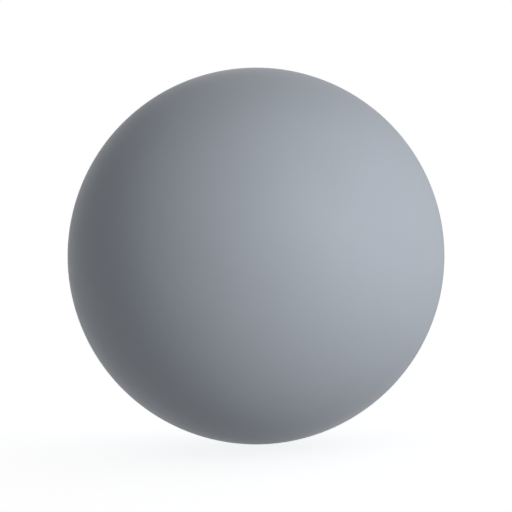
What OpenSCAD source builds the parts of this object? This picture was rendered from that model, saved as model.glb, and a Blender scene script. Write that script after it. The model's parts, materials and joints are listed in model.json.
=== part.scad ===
// Exercise ball: a one-piece rotomoulded skin with a push-in valve at one pole.
//
// Millimetres, +Z up. The origin is the ball's centre, and the ball stands on its
// lowest point, at z = -ball_d / 2. The valve points along +Y, and the plug's crown
// is flush with the ball.

/* [Ball] */
// Outside diameter of the pumped-up ball
ball_d = 650; // [450:10:850]
// Wall of the skin once it has been stretched by pumping
skin_t = 0.9; // [0.6:0.1:2.5]

/* [Plug] */
// Diameter of the plug's head
head_d = 19; // [16:0.5:24]
// Thickness of the head at its rim
head_t = 2.1; // [1.5:0.1:4]
// Height of the domed crown above the head's rim
crown_h = 1; // [0.6:0.1:2]
// Diameter of the thumb dimple in the crown
dimple_d = 7; // [5:0.5:9]
// Depth of the thumb dimple
dimple_depth = 0.5; // [0.2:0.1:0.8]
// Length of the stem below the head
stem_len = 24; // [20:0.5:36]
// Length of the tapered lead-in at the stem's tip
tip_len = 2.5; // [1:0.5:4]
// Number of sealing ribs on the stem
rib_count = 3; // [2:1:4]
// Width of each rib where it meets the bore
rib_w = 1.6; // [1:0.1:2]
// Height of the ribs above the stem between them
rib_h = 0.6; // [0.3:0.1:1]
// Diameter of the hollow moulded into the stem's inner end
core_d = 4; // [3:0.1:5]
// Depth of that hollow
core_depth = 18; // [8:0.5:20]

/* [Valve seat] */
// Diameter of the bore at the dish's floor
bore_d = 10; // [9:0.1:12]
// Angle at which each side of the bore narrows inwards
bore_taper = 2; // [1:0.1:3]
// Wall of the sleeve at its thinner end, the mouth
sleeve_wall = 2.4; // [1.5:0.1:4]
// Length of the sleeve past the plug's tip
sleeve_extra = 3; // [0:0.5:8]
// Width of the ring between the dish and the skin
hub_wall = 3.5; // [2:0.5:8]
// Thickness of the dish's floor
floor_t = 2; // [1.5:0.1:4]
// Width of the flange beyond the hub, fused to the inside of the skin
flange_w = 13; // [6:0.5:25]
// Thickness of the flange
flange_t = 1.6; // [1:0.1:3]

/* [Clearances] */
// Radial gap between the plug's ribs and the bore
stem_gap = 0.05; // [0.01:0.01:0.1]
// Gap between the head and the dish's floor
head_gap = 0.1; // [0.05:0.05:0.3]
// Width of the groove around the head, where the plug is levered out
pry_gap = 2; // [1:0.5:3]

/* [Hidden] */
$fn = 180;
// How far a cutting shape runs past the face that it cuts
cut = 1;

ball_r = ball_d / 2;
head_r = head_d / 2;
core_r = core_d / 2;
dish_r = head_r + pry_gap;
hub_r = dish_r + hub_wall;
flange_r = hub_r + flange_w;
sleeve_r = bore_d / 2 + sleeve_wall;

// Heights along the valve's axis, measured outwards from the ball's centre
dish_floor = ball_r - crown_h - head_t - head_gap;
head_base = dish_floor + head_gap;
stem_end = head_base - stem_len;
tip = stem_end + tip_len;
sleeve_end = stem_end - sleeve_extra;

// The ribs divide the stem between its tip and the head into equal lengths
rib_step = (head_base - tip) / (rib_count + 1);

// Radius of a sphere whose cap is `rise` high over a circle of radius `r`
function dome_radius(r, rise) = (r * r + rise * rise) / (2 * rise);

// Radius of the tapered bore at height y
function bore_r(y) = bore_d / 2 - (dish_floor - y) * tan(bore_taper);

// Radius of the plug's ribs, and of the stem between them, at height y
function rib_r(y) = bore_r(y) - stem_gap;
function stem_r(y) = rib_r(y) - rib_h;

// Turns +Z, which solids of revolution are drawn around, to the valve's axis, +Y
module on_valve_axis() {
    rotate([-90, 0, 0])
        children();
}

// Profile from the axis out to radius r, between two heights
module band(r, low, high) {
    translate([0, low])
        square([r, high - low]);
}

// The skin: one hollow sphere with a round hole for the valve seat
module ball_shell() {
    color([0.62, 0.65, 0.69])
        on_valve_axis()
            difference() {
                sphere(r = ball_r);
                sphere(r = ball_r - skin_t);
                cylinder(r = hub_r, h = ball_r + cut);
            }
}

// Profile of the hub, which fills the hole in the skin and is flush with the ball
module hub() {
    intersection() {
        circle(r = ball_r);
        band(hub_r, dish_floor - floor_t, ball_r);
    }
}

// Profile of the flange, which lies against the inside of the skin
module flange() {
    intersection() {
        difference() {
            circle(r = ball_r - skin_t);
            circle(r = ball_r - skin_t - flange_t);
        }
        band(flange_r, sleeve_end, ball_r);
    }
}

// Profile of the tapered bore, run out past both of its ends
module bore() {
    low = sleeve_end - cut;
    high = dish_floor + cut;
    polygon([[0, low], [bore_r(low), low], [bore_r(high), high], [0, high]]);
}

// The fitting that is fused into the skin: hub, flange and sleeve, less dish and bore
module valve_seat() {
    color([0.58, 0.61, 0.65])
        on_valve_axis()
            rotate_extrude()
                difference() {
                    union() {
                        hub();
                        flange();
                        band(sleeve_r, sleeve_end, dish_floor);
                    }
                    band(dish_r, dish_floor, ball_r + cut);
                    bore();
                }
}

// Profile of the plug's head: a thin disc with a domed crown and a thumb dimple
module head() {
    crown_r = dome_radius(head_r, crown_h);
    dimple_r = dome_radius(dimple_d / 2, dimple_depth);
    difference() {
        intersection() {
            band(head_r, head_base, ball_r);
            translate([0, ball_r - crown_r])
                circle(r = crown_r);
        }
        translate([0, ball_r + dimple_r - dimple_depth])
            circle(r = dimple_r);
    }
}

// Profile of one rib with sloping flanks; y is the height of its middle
module rib(y) {
    half = rib_w / 2;
    root = half + rib_h;
    polygon([
        [0, y - root],
        [stem_r(y - root), y - root],
        [rib_r(y - half), y - half],
        [rib_r(y + half), y + half],
        [stem_r(y + root), y + root],
        [0, y + root]
    ]);
}

// Profile of the stem: a tapered core, its ribs and the hollow in its inner end
module stem() {
    difference() {
        union() {
            polygon([
                [0, stem_end],
                [(core_r + stem_r(tip)) / 2, stem_end],
                [stem_r(tip), tip],
                [stem_r(head_base), head_base],
                [0, head_base]
            ]);
            for (i = [1:rib_count])
                rib(tip + i * rib_step);
        }
        band(core_r, stem_end - cut, stem_end + core_depth);
    }
}

// The push-in stopper; it pulls out along the valve's axis
module valve_plug() {
    color([0.93, 0.93, 0.92])
        on_valve_axis()
            rotate_extrude() {
                head();
                stem();
            }
}

ball_shell();
valve_seat();
valve_plug();
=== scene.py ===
import json
import math

import bmesh
import bpy
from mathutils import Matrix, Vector


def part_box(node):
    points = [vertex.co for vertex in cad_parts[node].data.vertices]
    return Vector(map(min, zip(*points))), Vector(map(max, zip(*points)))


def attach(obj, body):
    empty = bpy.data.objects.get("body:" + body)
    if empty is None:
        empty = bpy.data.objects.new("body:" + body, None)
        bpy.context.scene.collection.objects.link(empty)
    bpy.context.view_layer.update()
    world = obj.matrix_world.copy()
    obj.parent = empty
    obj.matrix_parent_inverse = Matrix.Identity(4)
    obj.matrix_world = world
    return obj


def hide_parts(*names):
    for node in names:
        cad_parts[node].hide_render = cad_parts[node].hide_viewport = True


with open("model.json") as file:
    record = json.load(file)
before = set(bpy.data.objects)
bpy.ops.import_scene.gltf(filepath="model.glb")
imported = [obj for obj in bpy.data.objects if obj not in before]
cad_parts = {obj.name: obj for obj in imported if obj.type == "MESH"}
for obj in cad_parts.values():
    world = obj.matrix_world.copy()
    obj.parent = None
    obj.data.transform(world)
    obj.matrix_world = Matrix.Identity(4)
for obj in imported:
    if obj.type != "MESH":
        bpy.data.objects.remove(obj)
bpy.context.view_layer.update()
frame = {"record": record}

# An inflated exercise ball with a push-in valve. All sizes are in metres, in the CAD frame:
# the ball's centre is the origin, and the valve's axis is +Y, the side away from the camera.
MM = 0.001
MOUNTS = {mount["name"]: mount for mount in frame["record"]["mounts"]}

# Sizes read from the frame
FLOOR_Z = MOUNTS["floor_contact"]["pos_m"][2]
BALL_R = -FLOOR_Z
DISH_FLOOR = MOUNTS["pump_port"]["pos_m"][1]
BORE_R = MOUNTS["pump_port"]["dims"]["r_mm"] * MM
FLANGE_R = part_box("valve_seat")[1].x
SLEEVE_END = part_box("valve_seat")[0].y
HEAD_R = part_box("valve_plug")[1].x
STEM_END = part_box("valve_plug")[0].y

# The CAD model's walls and gaps, which the frame doesn't hold
SKIN_T = 0.9 * MM
PRY_GAP = 2 * MM
HUB_WALL = 3.5 * MM
FLOOR_T = 2 * MM
FLANGE_T = 1.6 * MM
SLEEVE_WALL = 2.4 * MM
BORE_TAPER = math.radians(2)
HEAD_GAP = 0.1 * MM
STEM_GAP = 0.05 * MM

# The CAD model's plug, apart from its head's width and its length
CROWN_H = 1 * MM
DIMPLE_R = 3.5 * MM
DIMPLE_DEPTH = 0.5 * MM
TIP_LEN = 2.5 * MM
RIB_COUNT = 3
RIB_W = 1.6 * MM
RIB_H = 0.6 * MM
CORE_R = 2 * MM
CORE_DEPTH = 18 * MM

DISH_R = HEAD_R + PRY_GAP
HUB_R = DISH_R + HUB_WALL
SLEEVE_R = BORE_R + SLEEVE_WALL
HUB_END = DISH_FLOOR - FLOOR_T
HEAD_BASE = DISH_FLOOR + HEAD_GAP
TIP = STEM_END + TIP_LEN
CROWN_R = (HEAD_R**2 + CROWN_H**2) / (2 * CROWN_H)
DIMPLE_BALL_R = (DIMPLE_R**2 + DIMPLE_DEPTH**2) / (2 * DIMPLE_DEPTH)

# Relief that the mould leaves in the skin: a raised ring round the valve, a step over the
# edge of the flange inside, and a parting line halfway between the two poles
LIP_GAP = 5 * MM
LIP_R = HUB_R + LIP_GAP
LIP_W = 2.6 * MM
LIP_H = 0.7 * MM
STEP_W = 3 * MM
STEP_H = 0.2 * MM
PARTING_W = 1.1 * MM
PARTING_H = 0.15 * MM
PARTING_AT = BALL_R * math.pi / 2  # along the skin from the valve's axis

# Fillets on the moulded edges: of the ribs and the stem's end, of small edges, and of large ones
RIB_FILLET = 0.25 * MM
FILLET = 0.35 * MM
SOFT_FILLET = 0.6 * MM

# Details of the plug's crown
CROWN_EDGE = 0.7 * MM
DIMPLE_BLEND = 0.12 * MM
GATE_R = 0.7 * MM
GATE_H = 0.12 * MM

# Fineness of the meshes. The step between the skin's rings is a share of the distance to the
# nearest relief, between the finest and the coarsest.
SEGMENTS = 288
FILLET_STEPS = 5
CROWN_STEPS = 32
INNER_RINGS = 96
FLANGE_STEPS = 6
STEP_SHARE = 0.25
FINE_STEP = 0.25 * MM
COARSE_STEP = 7 * MM
HOLE_MARGIN = 1 * MM  # from the skin's hole to its first ring, which leaves room for the fillet
ON_AXIS = 0.001 * MM  # a smaller radius counts as 0


# ---------------------------------------------------------------- mesh helpers


def rounded(corners):
    """The points of a closed profile of (radius, height, fillet) corners. A fillet of 0 is a sharp one."""
    points = []
    for i, (r, y, fillet) in enumerate(corners):
        if fillet == 0:
            points.append((r, y))
            continue
        here = Vector((r, y))
        before = (Vector(corners[i - 1][:2]) - here).normalized()
        after = (Vector(corners[(i + 1) % len(corners)][:2]) - here).normalized()
        reach = fillet / math.tan(before.angle(after) / 2)
        start = here + before * reach
        end = here + after * reach
        for step in range(FILLET_STEPS + 1):
            t = step / FILLET_STEPS
            points.append(tuple(start.lerp(here, t).lerp(here.lerp(end, t), t)))
    return points


def ring(mesh, r, y):
    """A ring of vertices round the valve's axis, or one vertex where the radius is 0."""
    if r < ON_AXIS:
        return [mesh.verts.new((0, y, 0))]
    turns = (2 * math.pi * k / SEGMENTS for k in range(SEGMENTS))
    return [mesh.verts.new((r * math.cos(a), y, r * math.sin(a))) for a in turns]


def join_rings(mesh, one, other):
    """Faces between two neighbouring rings. Two poles need none."""
    if len(one) == len(other) == 1:
        return
    for k in range(SEGMENTS):
        n = (k + 1) % SEGMENTS
        if len(one) == 1:
            mesh.faces.new((one[0], other[n], other[k]))
        elif len(other) == 1:
            mesh.faces.new((one[k], one[n], other[0]))
        else:
            mesh.faces.new((one[k], one[n], other[n], other[k]))


def lathe(name, profile):
    """A closed piece: a closed (radius, height) profile turned about the valve's axis, +Y."""
    mesh = bmesh.new()
    rings = [ring(mesh, r, y) for r, y in profile]
    for i, one in enumerate(rings):
        join_rings(mesh, rings[i - 1], one)
    bmesh.ops.recalc_face_normals(mesh, faces=mesh.faces)
    data = bpy.data.meshes.new(name)
    mesh.to_mesh(data)
    mesh.free()
    data.shade_smooth()
    piece = bpy.data.objects.new(name, data)
    bpy.context.scene.collection.objects.link(piece)
    return piece


def weigh_normals(piece):
    """Keeps flat faces flat where they meet a fillet."""
    modifier = piece.modifiers.new("weighted_normals", "WEIGHTED_NORMAL")
    modifier.mode = "FACE_AREA"


def smooth_bump(distance, width):
    """1 at distance 0, falling smoothly to 0 at width."""
    t = min(abs(distance) / width, 1)
    return (1 - t * t) ** 2


def smooth_step(distance, width):
    """0 well below distance 0 and 1 well above it, rising smoothly over width."""
    t = min(max(distance / width + 0.5, 0), 1)
    return t * t * (3 - 2 * t)


def height_on(sphere_r, r):
    """Height above the ball's centre of a sphere's surface at a distance r from the valve's axis."""
    return math.sqrt(sphere_r**2 - r**2)


# ---------------------------------------------------------------- skin


def relief(along):
    """How far the skin stands proud of the sphere, at a distance along it from the valve's axis."""
    lip = LIP_H * smooth_bump(along - LIP_R, LIP_W)
    parting = PARTING_H * smooth_bump(along - PARTING_AT, PARTING_W)
    return lip + parting + STEP_H * smooth_step(FLANGE_R - along, STEP_W)


def ring_places():
    """Places of the skin's rings, from the valve's hole to the far pole, closer together near relief."""
    busy = (LIP_R, FLANGE_R, PARTING_AT)
    far_pole = BALL_R * math.pi
    places = [HUB_R + HOLE_MARGIN]
    while places[-1] < far_pole - COARSE_STEP:
        nearest = min(abs(places[-1] - place) for place in busy)
        places.append(places[-1] + min(max(nearest * STEP_SHARE, FINE_STEP), COARSE_STEP))
    return places


def make_skin():
    """The blown-up skin: a thin shell with the valve's hole, as one closed mesh."""
    inside_r = BALL_R - SKIN_T
    hole_inside = height_on(inside_r, HUB_R)
    hole_outside = height_on(BALL_R, HUB_R) + relief(HUB_R)
    corners = [(HUB_R, hole_inside, 0), (HUB_R, hole_outside, FILLET)]
    for along in ring_places():
        r = BALL_R + relief(along)
        corners.append((r * math.sin(along / BALL_R), r * math.cos(along / BALL_R), 0))
    corners += [(0, -BALL_R, 0), (0, -inside_r, 0)]
    hole_angle = math.asin(HUB_R / inside_r)
    for i in range(1, INNER_RINGS):
        a = math.pi + (hole_angle - math.pi) * i / INNER_RINGS
        corners.append((inside_r * math.sin(a), inside_r * math.cos(a), 0))
    return lathe("skin", rounded(corners))


# ---------------------------------------------------------------- valve


def bore_r(y):
    """Radius of the tapered bore at a height."""
    return BORE_R - (DISH_FLOOR - y) * math.tan(BORE_TAPER)


def flange_side(sphere_r, start, end):
    """Corners along a face of the flange, which follows a sphere, between two distances from the axis."""
    steps = (start + (end - start) * i / FLANGE_STEPS for i in range(FLANGE_STEPS + 1))
    return [(r, height_on(sphere_r, r), 0) for r in steps]


def make_seat():
    """The valve's fitting: a dished hub, the flange inside the skin, and the sleeve with its bore."""
    top = relief(HUB_R)
    outer = BALL_R - SKIN_T
    corners = [
        (bore_r(DISH_FLOOR), DISH_FLOOR, FILLET),
        (DISH_R, DISH_FLOOR, SOFT_FILLET),
        (DISH_R, height_on(BALL_R, DISH_R) + top, SOFT_FILLET),
        (HUB_R, height_on(BALL_R, HUB_R) + top, FILLET),
    ]
    corners += flange_side(outer, HUB_R, FLANGE_R)
    corners += flange_side(outer - FLANGE_T, FLANGE_R, HUB_R)
    corners += [
        (HUB_R, HUB_END, SOFT_FILLET),
        (SLEEVE_R, HUB_END, SOFT_FILLET),
        (SLEEVE_R, SLEEVE_END, SOFT_FILLET),
        (bore_r(SLEEVE_END), SLEEVE_END, FILLET),
    ]
    seat = lathe("valve_fitting", rounded(corners))
    weigh_normals(seat)
    return seat


def crown_height(r):
    """Height of the plug's crown at a radius: a shallow dome with a thumb dimple and a small gate mark."""
    dome = BALL_R - CROWN_R + math.sqrt(CROWN_R**2 - r**2)
    if r > DIMPLE_R:
        return dome
    dimple = BALL_R + DIMPLE_BALL_R - DIMPLE_DEPTH - math.sqrt(DIMPLE_BALL_R**2 - r**2)
    gap = dome - dimple
    blended = (dome + dimple - math.sqrt(gap**2 + DIMPLE_BLEND**2)) / 2
    return blended + GATE_H * smooth_bump(r, GATE_R)


def rib_r(y):
    """Radius of the plug's ribs at a height."""
    return bore_r(y) - STEM_GAP


def stem_r(y):
    """Radius of the stem between its ribs at a height."""
    return rib_r(y) - RIB_H


def rib_corners(y):
    """Corners of one sealing rib with sloping flanks. y is the height of its middle."""
    half = RIB_W / 2
    root = half + RIB_H
    return [
        (stem_r(y + root), y + root, RIB_FILLET),
        (rib_r(y + half), y + half, RIB_FILLET),
        (rib_r(y - half), y - half, RIB_FILLET),
        (stem_r(y - root), y - root, RIB_FILLET),
    ]


def make_plug():
    """The push-in stopper, with its domed head and its ribbed, hollow stem."""
    rim = HEAD_R - CROWN_EDGE
    crown = (rim * i / CROWN_STEPS for i in range(CROWN_STEPS + 1))
    corners = [(r, crown_height(r), 0) for r in crown]
    corners += [
        (HEAD_R, crown_height(HEAD_R), SOFT_FILLET),
        (HEAD_R, HEAD_BASE, FILLET),
        (stem_r(HEAD_BASE), HEAD_BASE, FILLET),
    ]
    for i in range(RIB_COUNT, 0, -1):
        corners += rib_corners(TIP + (HEAD_BASE - TIP) * i / (RIB_COUNT + 1))
    corners += [
        (stem_r(TIP), TIP, SOFT_FILLET),
        ((CORE_R + stem_r(TIP)) / 2, STEM_END, RIB_FILLET),
        (CORE_R, STEM_END, RIB_FILLET),
        (CORE_R, STEM_END + CORE_DEPTH, SOFT_FILLET),
        (0, STEM_END + CORE_DEPTH, 0),
    ]
    plug = lathe("plug", rounded(corners))
    weigh_normals(plug)
    return plug


# ---------------------------------------------------------------- materials

GREY = (0.405, 0.443, 0.498)
DARK_GREY = (0.34, 0.37, 0.42)
IVORY = (0.80, 0.80, 0.76)

# What scuffs, the painted shade in the seam round the valve and the dust along the parting line add to the
# PVC's tone and roughness
SCUFF_TONE = 0.04
SCUFF_POLISH = -0.15
SEAM_SHADE_AND_DUST_TONE = -0.14
SEAM_W = 1 * MM
PARTING_DUST = 0.3  # dust along the parting line, as a share of the painted shade round the valve

TURNING_SCALE = 700  # turning marks about 0.45 mm apart


def node(tree, kind, settings=None, **inputs):
    """A shader node. Inputs are linked if they come from another node, and set if they are plain values."""
    made = tree.nodes.new("ShaderNode" + kind)
    for name, value in (settings or {}).items():
        setattr(made, name, value)
    for name, value in inputs.items():
        set_input(tree, made.inputs[name.replace("_", " ")], value)
    return made


def set_input(tree, socket, value):
    """Links an output to a socket, or gives the socket a plain value."""
    if isinstance(value, bpy.types.NodeSocket):
        tree.links.new(value, socket)
    else:
        socket.default_value = value


def noise(tree, place, size, detail=2.0):
    """Soft noise from 0 to 1, with patches about as wide as size."""
    return node(tree, "TexNoise", Vector=place, Scale=1 / size, Detail=detail).outputs["Fac"]


def cells(tree, place, size):
    """The distance to the nearest of many points that are about as far apart as size."""
    return node(tree, "TexVoronoi", Vector=place, Scale=1 / size).outputs["Distance"]


def calculate(tree, operation, *values):
    """The result of a math node."""
    made = node(tree, "Math", {"operation": operation})
    for socket, value in zip(made.inputs, values):
        set_input(tree, socket, value)
    return made.outputs[0]


def total(tree, first, *others):
    """The sum of several values."""
    for value in others:
        first = calculate(tree, "ADD", first, value)
    return first


def spread(tree, value, low, high, edges=(0.3, 0.7)):
    """A value stretched from between its edges to between low and high, and held there."""
    limits = {"From_Min": edges[0], "From_Max": edges[1], "To_Min": low, "To_Max": high}
    return node(tree, "MapRange", Value=value, **limits).outputs[0]


def near(tree, value, middle, width):
    """1 where a value is at the middle, falling to 0 at width from it."""
    off = calculate(tree, "ABSOLUTE", calculate(tree, "SUBTRACT", value, middle))
    return spread(tree, off, low=1, high=0, edges=(0, width))


def tinted(tree, colour, tone):
    """A colour made darker or lighter by a tone that is about 1."""
    made = node(tree, "VectorMath", {"operation": "SCALE"}, Scale=tone)
    made.inputs[0].default_value = colour
    return made.outputs[0]


def principled(name):
    """A new material with its tree, its Principled shader and the place on the piece, in metres."""
    material = bpy.data.materials.new(name)
    material.use_nodes = True
    tree = material.node_tree
    place = node(tree, "TexCoord").outputs["Object"]
    return material, tree, tree.nodes["Principled BSDF"], place


def add_relief(tree, shader, pattern, height):
    """Adds a pattern's relief, in metres, to the relief that a shader already has."""
    bump = node(tree, "Bump", Height=pattern, Distance=height)
    normal = shader.inputs["Normal"]
    if normal.is_linked:
        tree.links.new(normal.links[0].from_socket, bump.inputs["Normal"])
    tree.links.new(bump.outputs[0], normal)


def seam_shade_and_parting_dust(tree, place):
    """1 in the seam round the valve's hub, as painted shade, and less along the parting line, where dust
    settles.
    """
    height = node(tree, "SeparateXYZ", Vector=place).outputs["Y"]
    flat = node(tree, "VectorMath", {"operation": "MULTIPLY"})
    tree.links.new(place, flat.inputs[0])
    flat.inputs[1].default_value = (1, 0, 1)
    from_axis = node(tree, "VectorMath", {"operation": "LENGTH"})
    tree.links.new(flat.outputs[0], from_axis.inputs[0])
    # painted shade: a dark ring painted into the colour in the seam round the valve's hub
    round_hub = near(tree, from_axis.outputs["Value"], HUB_R, SEAM_W)
    on_valve_side = calculate(tree, "GREATER_THAN", height, 0)
    round_valve = calculate(tree, "MULTIPLY", round_hub, on_valve_side)
    along_parting = calculate(tree, "MULTIPLY", near(tree, height, 0, PARTING_W), PARTING_DUST)
    return calculate(tree, "MAXIMUM", round_valve, along_parting)


def hair_scuffs(tree, place):
    """1 along a few thin curved scuffs, in patches."""
    lines = near(tree, noise(tree, place, size=45 * MM, detail=1), middle=0.5, width=0.002)
    patches = spread(tree, noise(tree, place, size=120 * MM), low=0, high=1, edges=(0.52, 0.6))
    return calculate(tree, "MULTIPLY", lines, patches)


def pvc_material(name, colour, roughness, grain):
    """Soft matte PVC: slightly mottled, with pigment flecks, fine scuffs and a fine grain in relief."""
    material, tree, shader, place = principled(name)
    scuffs = hair_scuffs(tree, place)
    seam_shade_and_dust = seam_shade_and_parting_dust(tree, place)
    mottle = spread(tree, noise(tree, place, size=110 * MM), low=-0.012, high=0.012)
    specks = spread(tree, noise(tree, place, size=1.2 * MM, detail=3), low=-0.03, high=0.03)
    flecks = spread(tree, cells(tree, place, size=4 * MM), low=-0.12, high=0, edges=(0.04, 0.09))
    lighter = calculate(tree, "MULTIPLY", scuffs, SCUFF_TONE)
    # painted shade in the seam round the valve's hub, and dust along the parting line, darken the colour
    darker = calculate(tree, "MULTIPLY", seam_shade_and_dust, SEAM_SHADE_AND_DUST_TONE)
    tone = total(tree, 1, mottle, specks, flecks, lighter, darker)
    tree.links.new(tinted(tree, colour, tone), shader.inputs["Base Color"])

    handled = spread(tree, noise(tree, place, size=70 * MM, detail=4), low=-0.04, high=0.04)
    fine = spread(tree, noise(tree, place, size=0.9 * MM), low=-0.03, high=0.03)
    polished = calculate(tree, "MULTIPLY", scuffs, SCUFF_POLISH)
    rough = total(tree, roughness, handled, fine, polished)
    tree.links.new(rough, shader.inputs["Roughness"])

    orange_peel = noise(tree, place, size=7 * MM)
    blasted = noise(tree, place, size=0.55 * MM, detail=3)
    pores = cells(tree, place, size=1.4 * MM)
    add_relief(tree, shader, orange_peel, height=0.03 * MM)
    add_relief(tree, shader, blasted, height=grain)
    add_relief(tree, shader, pores, height=grain / 2)
    shader.inputs["IOR"].default_value = 1.53
    shader.inputs["Sheen Weight"].default_value = 0.2
    shader.inputs["Sheen Roughness"].default_value = 0.35
    return material


def plug_material():
    """Slightly ivory moulded plastic: satin, with faint turning marks from the mould."""
    material, tree, shader, place = principled("white_plastic")
    tone = spread(tree, noise(tree, place, size=6 * MM, detail=3), low=0.97, high=1.02)
    tree.links.new(tinted(tree, IVORY, tone), shader.inputs["Base Color"])
    rough = spread(tree, noise(tree, place, size=1.5 * MM, detail=3), low=0.36, high=0.46)
    tree.links.new(rough, shader.inputs["Roughness"])
    rings = {"wave_type": "RINGS", "rings_direction": "Y"}
    turning_marks = node(tree, "TexWave", rings, Vector=place, Scale=TURNING_SCALE).outputs["Fac"]
    frosting = noise(tree, place, size=0.3 * MM)
    add_relief(tree, shader, turning_marks, height=0.004 * MM)
    add_relief(tree, shader, frosting, height=0.01 * MM)
    shader.inputs["Subsurface Weight"].default_value = 0.15
    shader.inputs["Subsurface Radius"].default_value = (1, 0.8, 0.6)
    shader.inputs["Subsurface Scale"].default_value = 1 * MM
    return material


# ---------------------------------------------------------------- studio

# The camera, with its lens and its sensor's width in millimetres
LENS = 85
SENSOR = 36
BALL_SHARE = 0.7362  # the ball's outline, as a share of the picture's width

# The even light from all round, against the white that the camera sees, and the floor
AMBIENT = 0.28
FLOOR_SIZE = 60
FLOOR_ALBEDO = 0.9

# Each soft light's name, degrees round from the camera to its right, degrees up, diameter and watts
LIGHT_DISTANCE = 2.5
LIGHTS = (
    ("key", 40, 12, 1.0, 35),
    ("side", 120, 5, 3.5, 20),
    ("low_back", 200, -10, 3.5, 35),
    ("high_back", 190, 30, 2.5, 15),
)


def make_camera():
    """A camera level with the ball's centre, on the side away from the valve."""
    data = bpy.data.cameras.new("camera")
    data.lens = LENS
    data.sensor_width = SENSOR
    camera = bpy.data.objects.new("camera", data)
    half_ball = math.atan(BALL_SHARE * SENSOR / 2 / LENS)
    camera.location = (0, -BALL_R / math.sin(half_ball), 0)
    camera.rotation_euler = (math.pi / 2, 0, 0)
    bpy.context.scene.collection.objects.link(camera)
    bpy.context.scene.camera = camera


def make_light(name, round_from_camera, up, diameter, power, lit):
    """A round soft light aimed at the ball's centre. It lights only what is in the lit collection."""
    data = bpy.data.lights.new(name, "AREA")
    data.shape = "DISK"
    data.size = diameter
    data.energy = power
    light = bpy.data.objects.new(name, data)
    turn = math.radians(round_from_camera)
    rise = math.radians(up)
    way = Vector((math.sin(turn) * math.cos(rise), -math.cos(turn) * math.cos(rise), math.sin(rise)))
    light.location = way * LIGHT_DISTANCE
    light.rotation_euler = way.to_track_quat("Z", "Y").to_euler()
    light.visible_camera = False
    light.light_linking.receiver_collection = lit
    bpy.context.scene.collection.objects.link(light)


def make_world():
    """White as the camera sees it, and a dimmer even light on the ball."""
    world = bpy.data.worlds.new("studio")
    world.use_nodes = True
    tree = world.node_tree
    seen = node(tree, "LightPath").outputs["Is Camera Ray"]
    background = tree.nodes["Background"]
    background.inputs["Color"].default_value = (1, 1, 1, 1)
    strength = spread(tree, seen, low=AMBIENT, high=1, edges=(0, 1))
    tree.links.new(strength, background.inputs["Strength"])
    bpy.context.scene.world = world


def floor_material():
    """Pale paint that glows by what the even light leaves short of white, so only the shadow shows."""
    material, tree, shader, place = principled("floor_paint")
    scuffed = spread(tree, noise(tree, place, size=0.4), low=0.99, high=1.01)
    tree.links.new(tinted(tree, (FLOOR_ALBEDO,) * 3, scuffed), shader.inputs["Base Color"])
    shader.inputs["Roughness"].default_value = 1
    shader.inputs["Specular IOR Level"].default_value = 0
    shader.inputs["Emission Color"].default_value = (1, 1, 1, 1)
    shader.inputs["Emission Strength"].default_value = 1 - FLOOR_ALBEDO * AMBIENT
    return material


def make_floor():
    """A wide plain floor under the ball. It neither lights the ball nor blocks the lights."""
    mesh = bpy.data.meshes.new("floor")
    half = FLOOR_SIZE / 2
    corners = [(-half, -half), (half, -half), (half, half), (-half, half)]
    mesh.from_pydata([(x, y, FLOOR_Z) for x, y in corners], [], [range(4)])
    mesh.materials.append(floor_material())
    floor = bpy.data.objects.new("floor", mesh)
    floor.visible_diffuse = False
    floor.visible_glossy = False
    floor.visible_shadow = False
    bpy.context.scene.collection.objects.link(floor)


# ---------------------------------------------------------------- the model

skin = make_skin()
skin.data.materials.append(pvc_material("grey_pvc", GREY, roughness=0.74, grain=0.05 * MM))
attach(skin, "ball")
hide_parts("ball_shell")

seat = make_seat()
seat.data.materials.append(pvc_material("dark_pvc", DARK_GREY, roughness=0.55, grain=0.02 * MM))
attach(seat, "ball")
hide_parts("valve_seat")

plug = make_plug()
plug.data.materials.append(plug_material())
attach(plug, "plug")
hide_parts("valve_plug")

make_world()
make_floor()
lit = bpy.data.collections.new("lit")
for piece in (skin, seat, plug):
    lit.objects.link(piece)
for light in LIGHTS:
    make_light(*light, lit)
make_camera()
bpy.context.scene.view_settings.view_transform = "Standard"
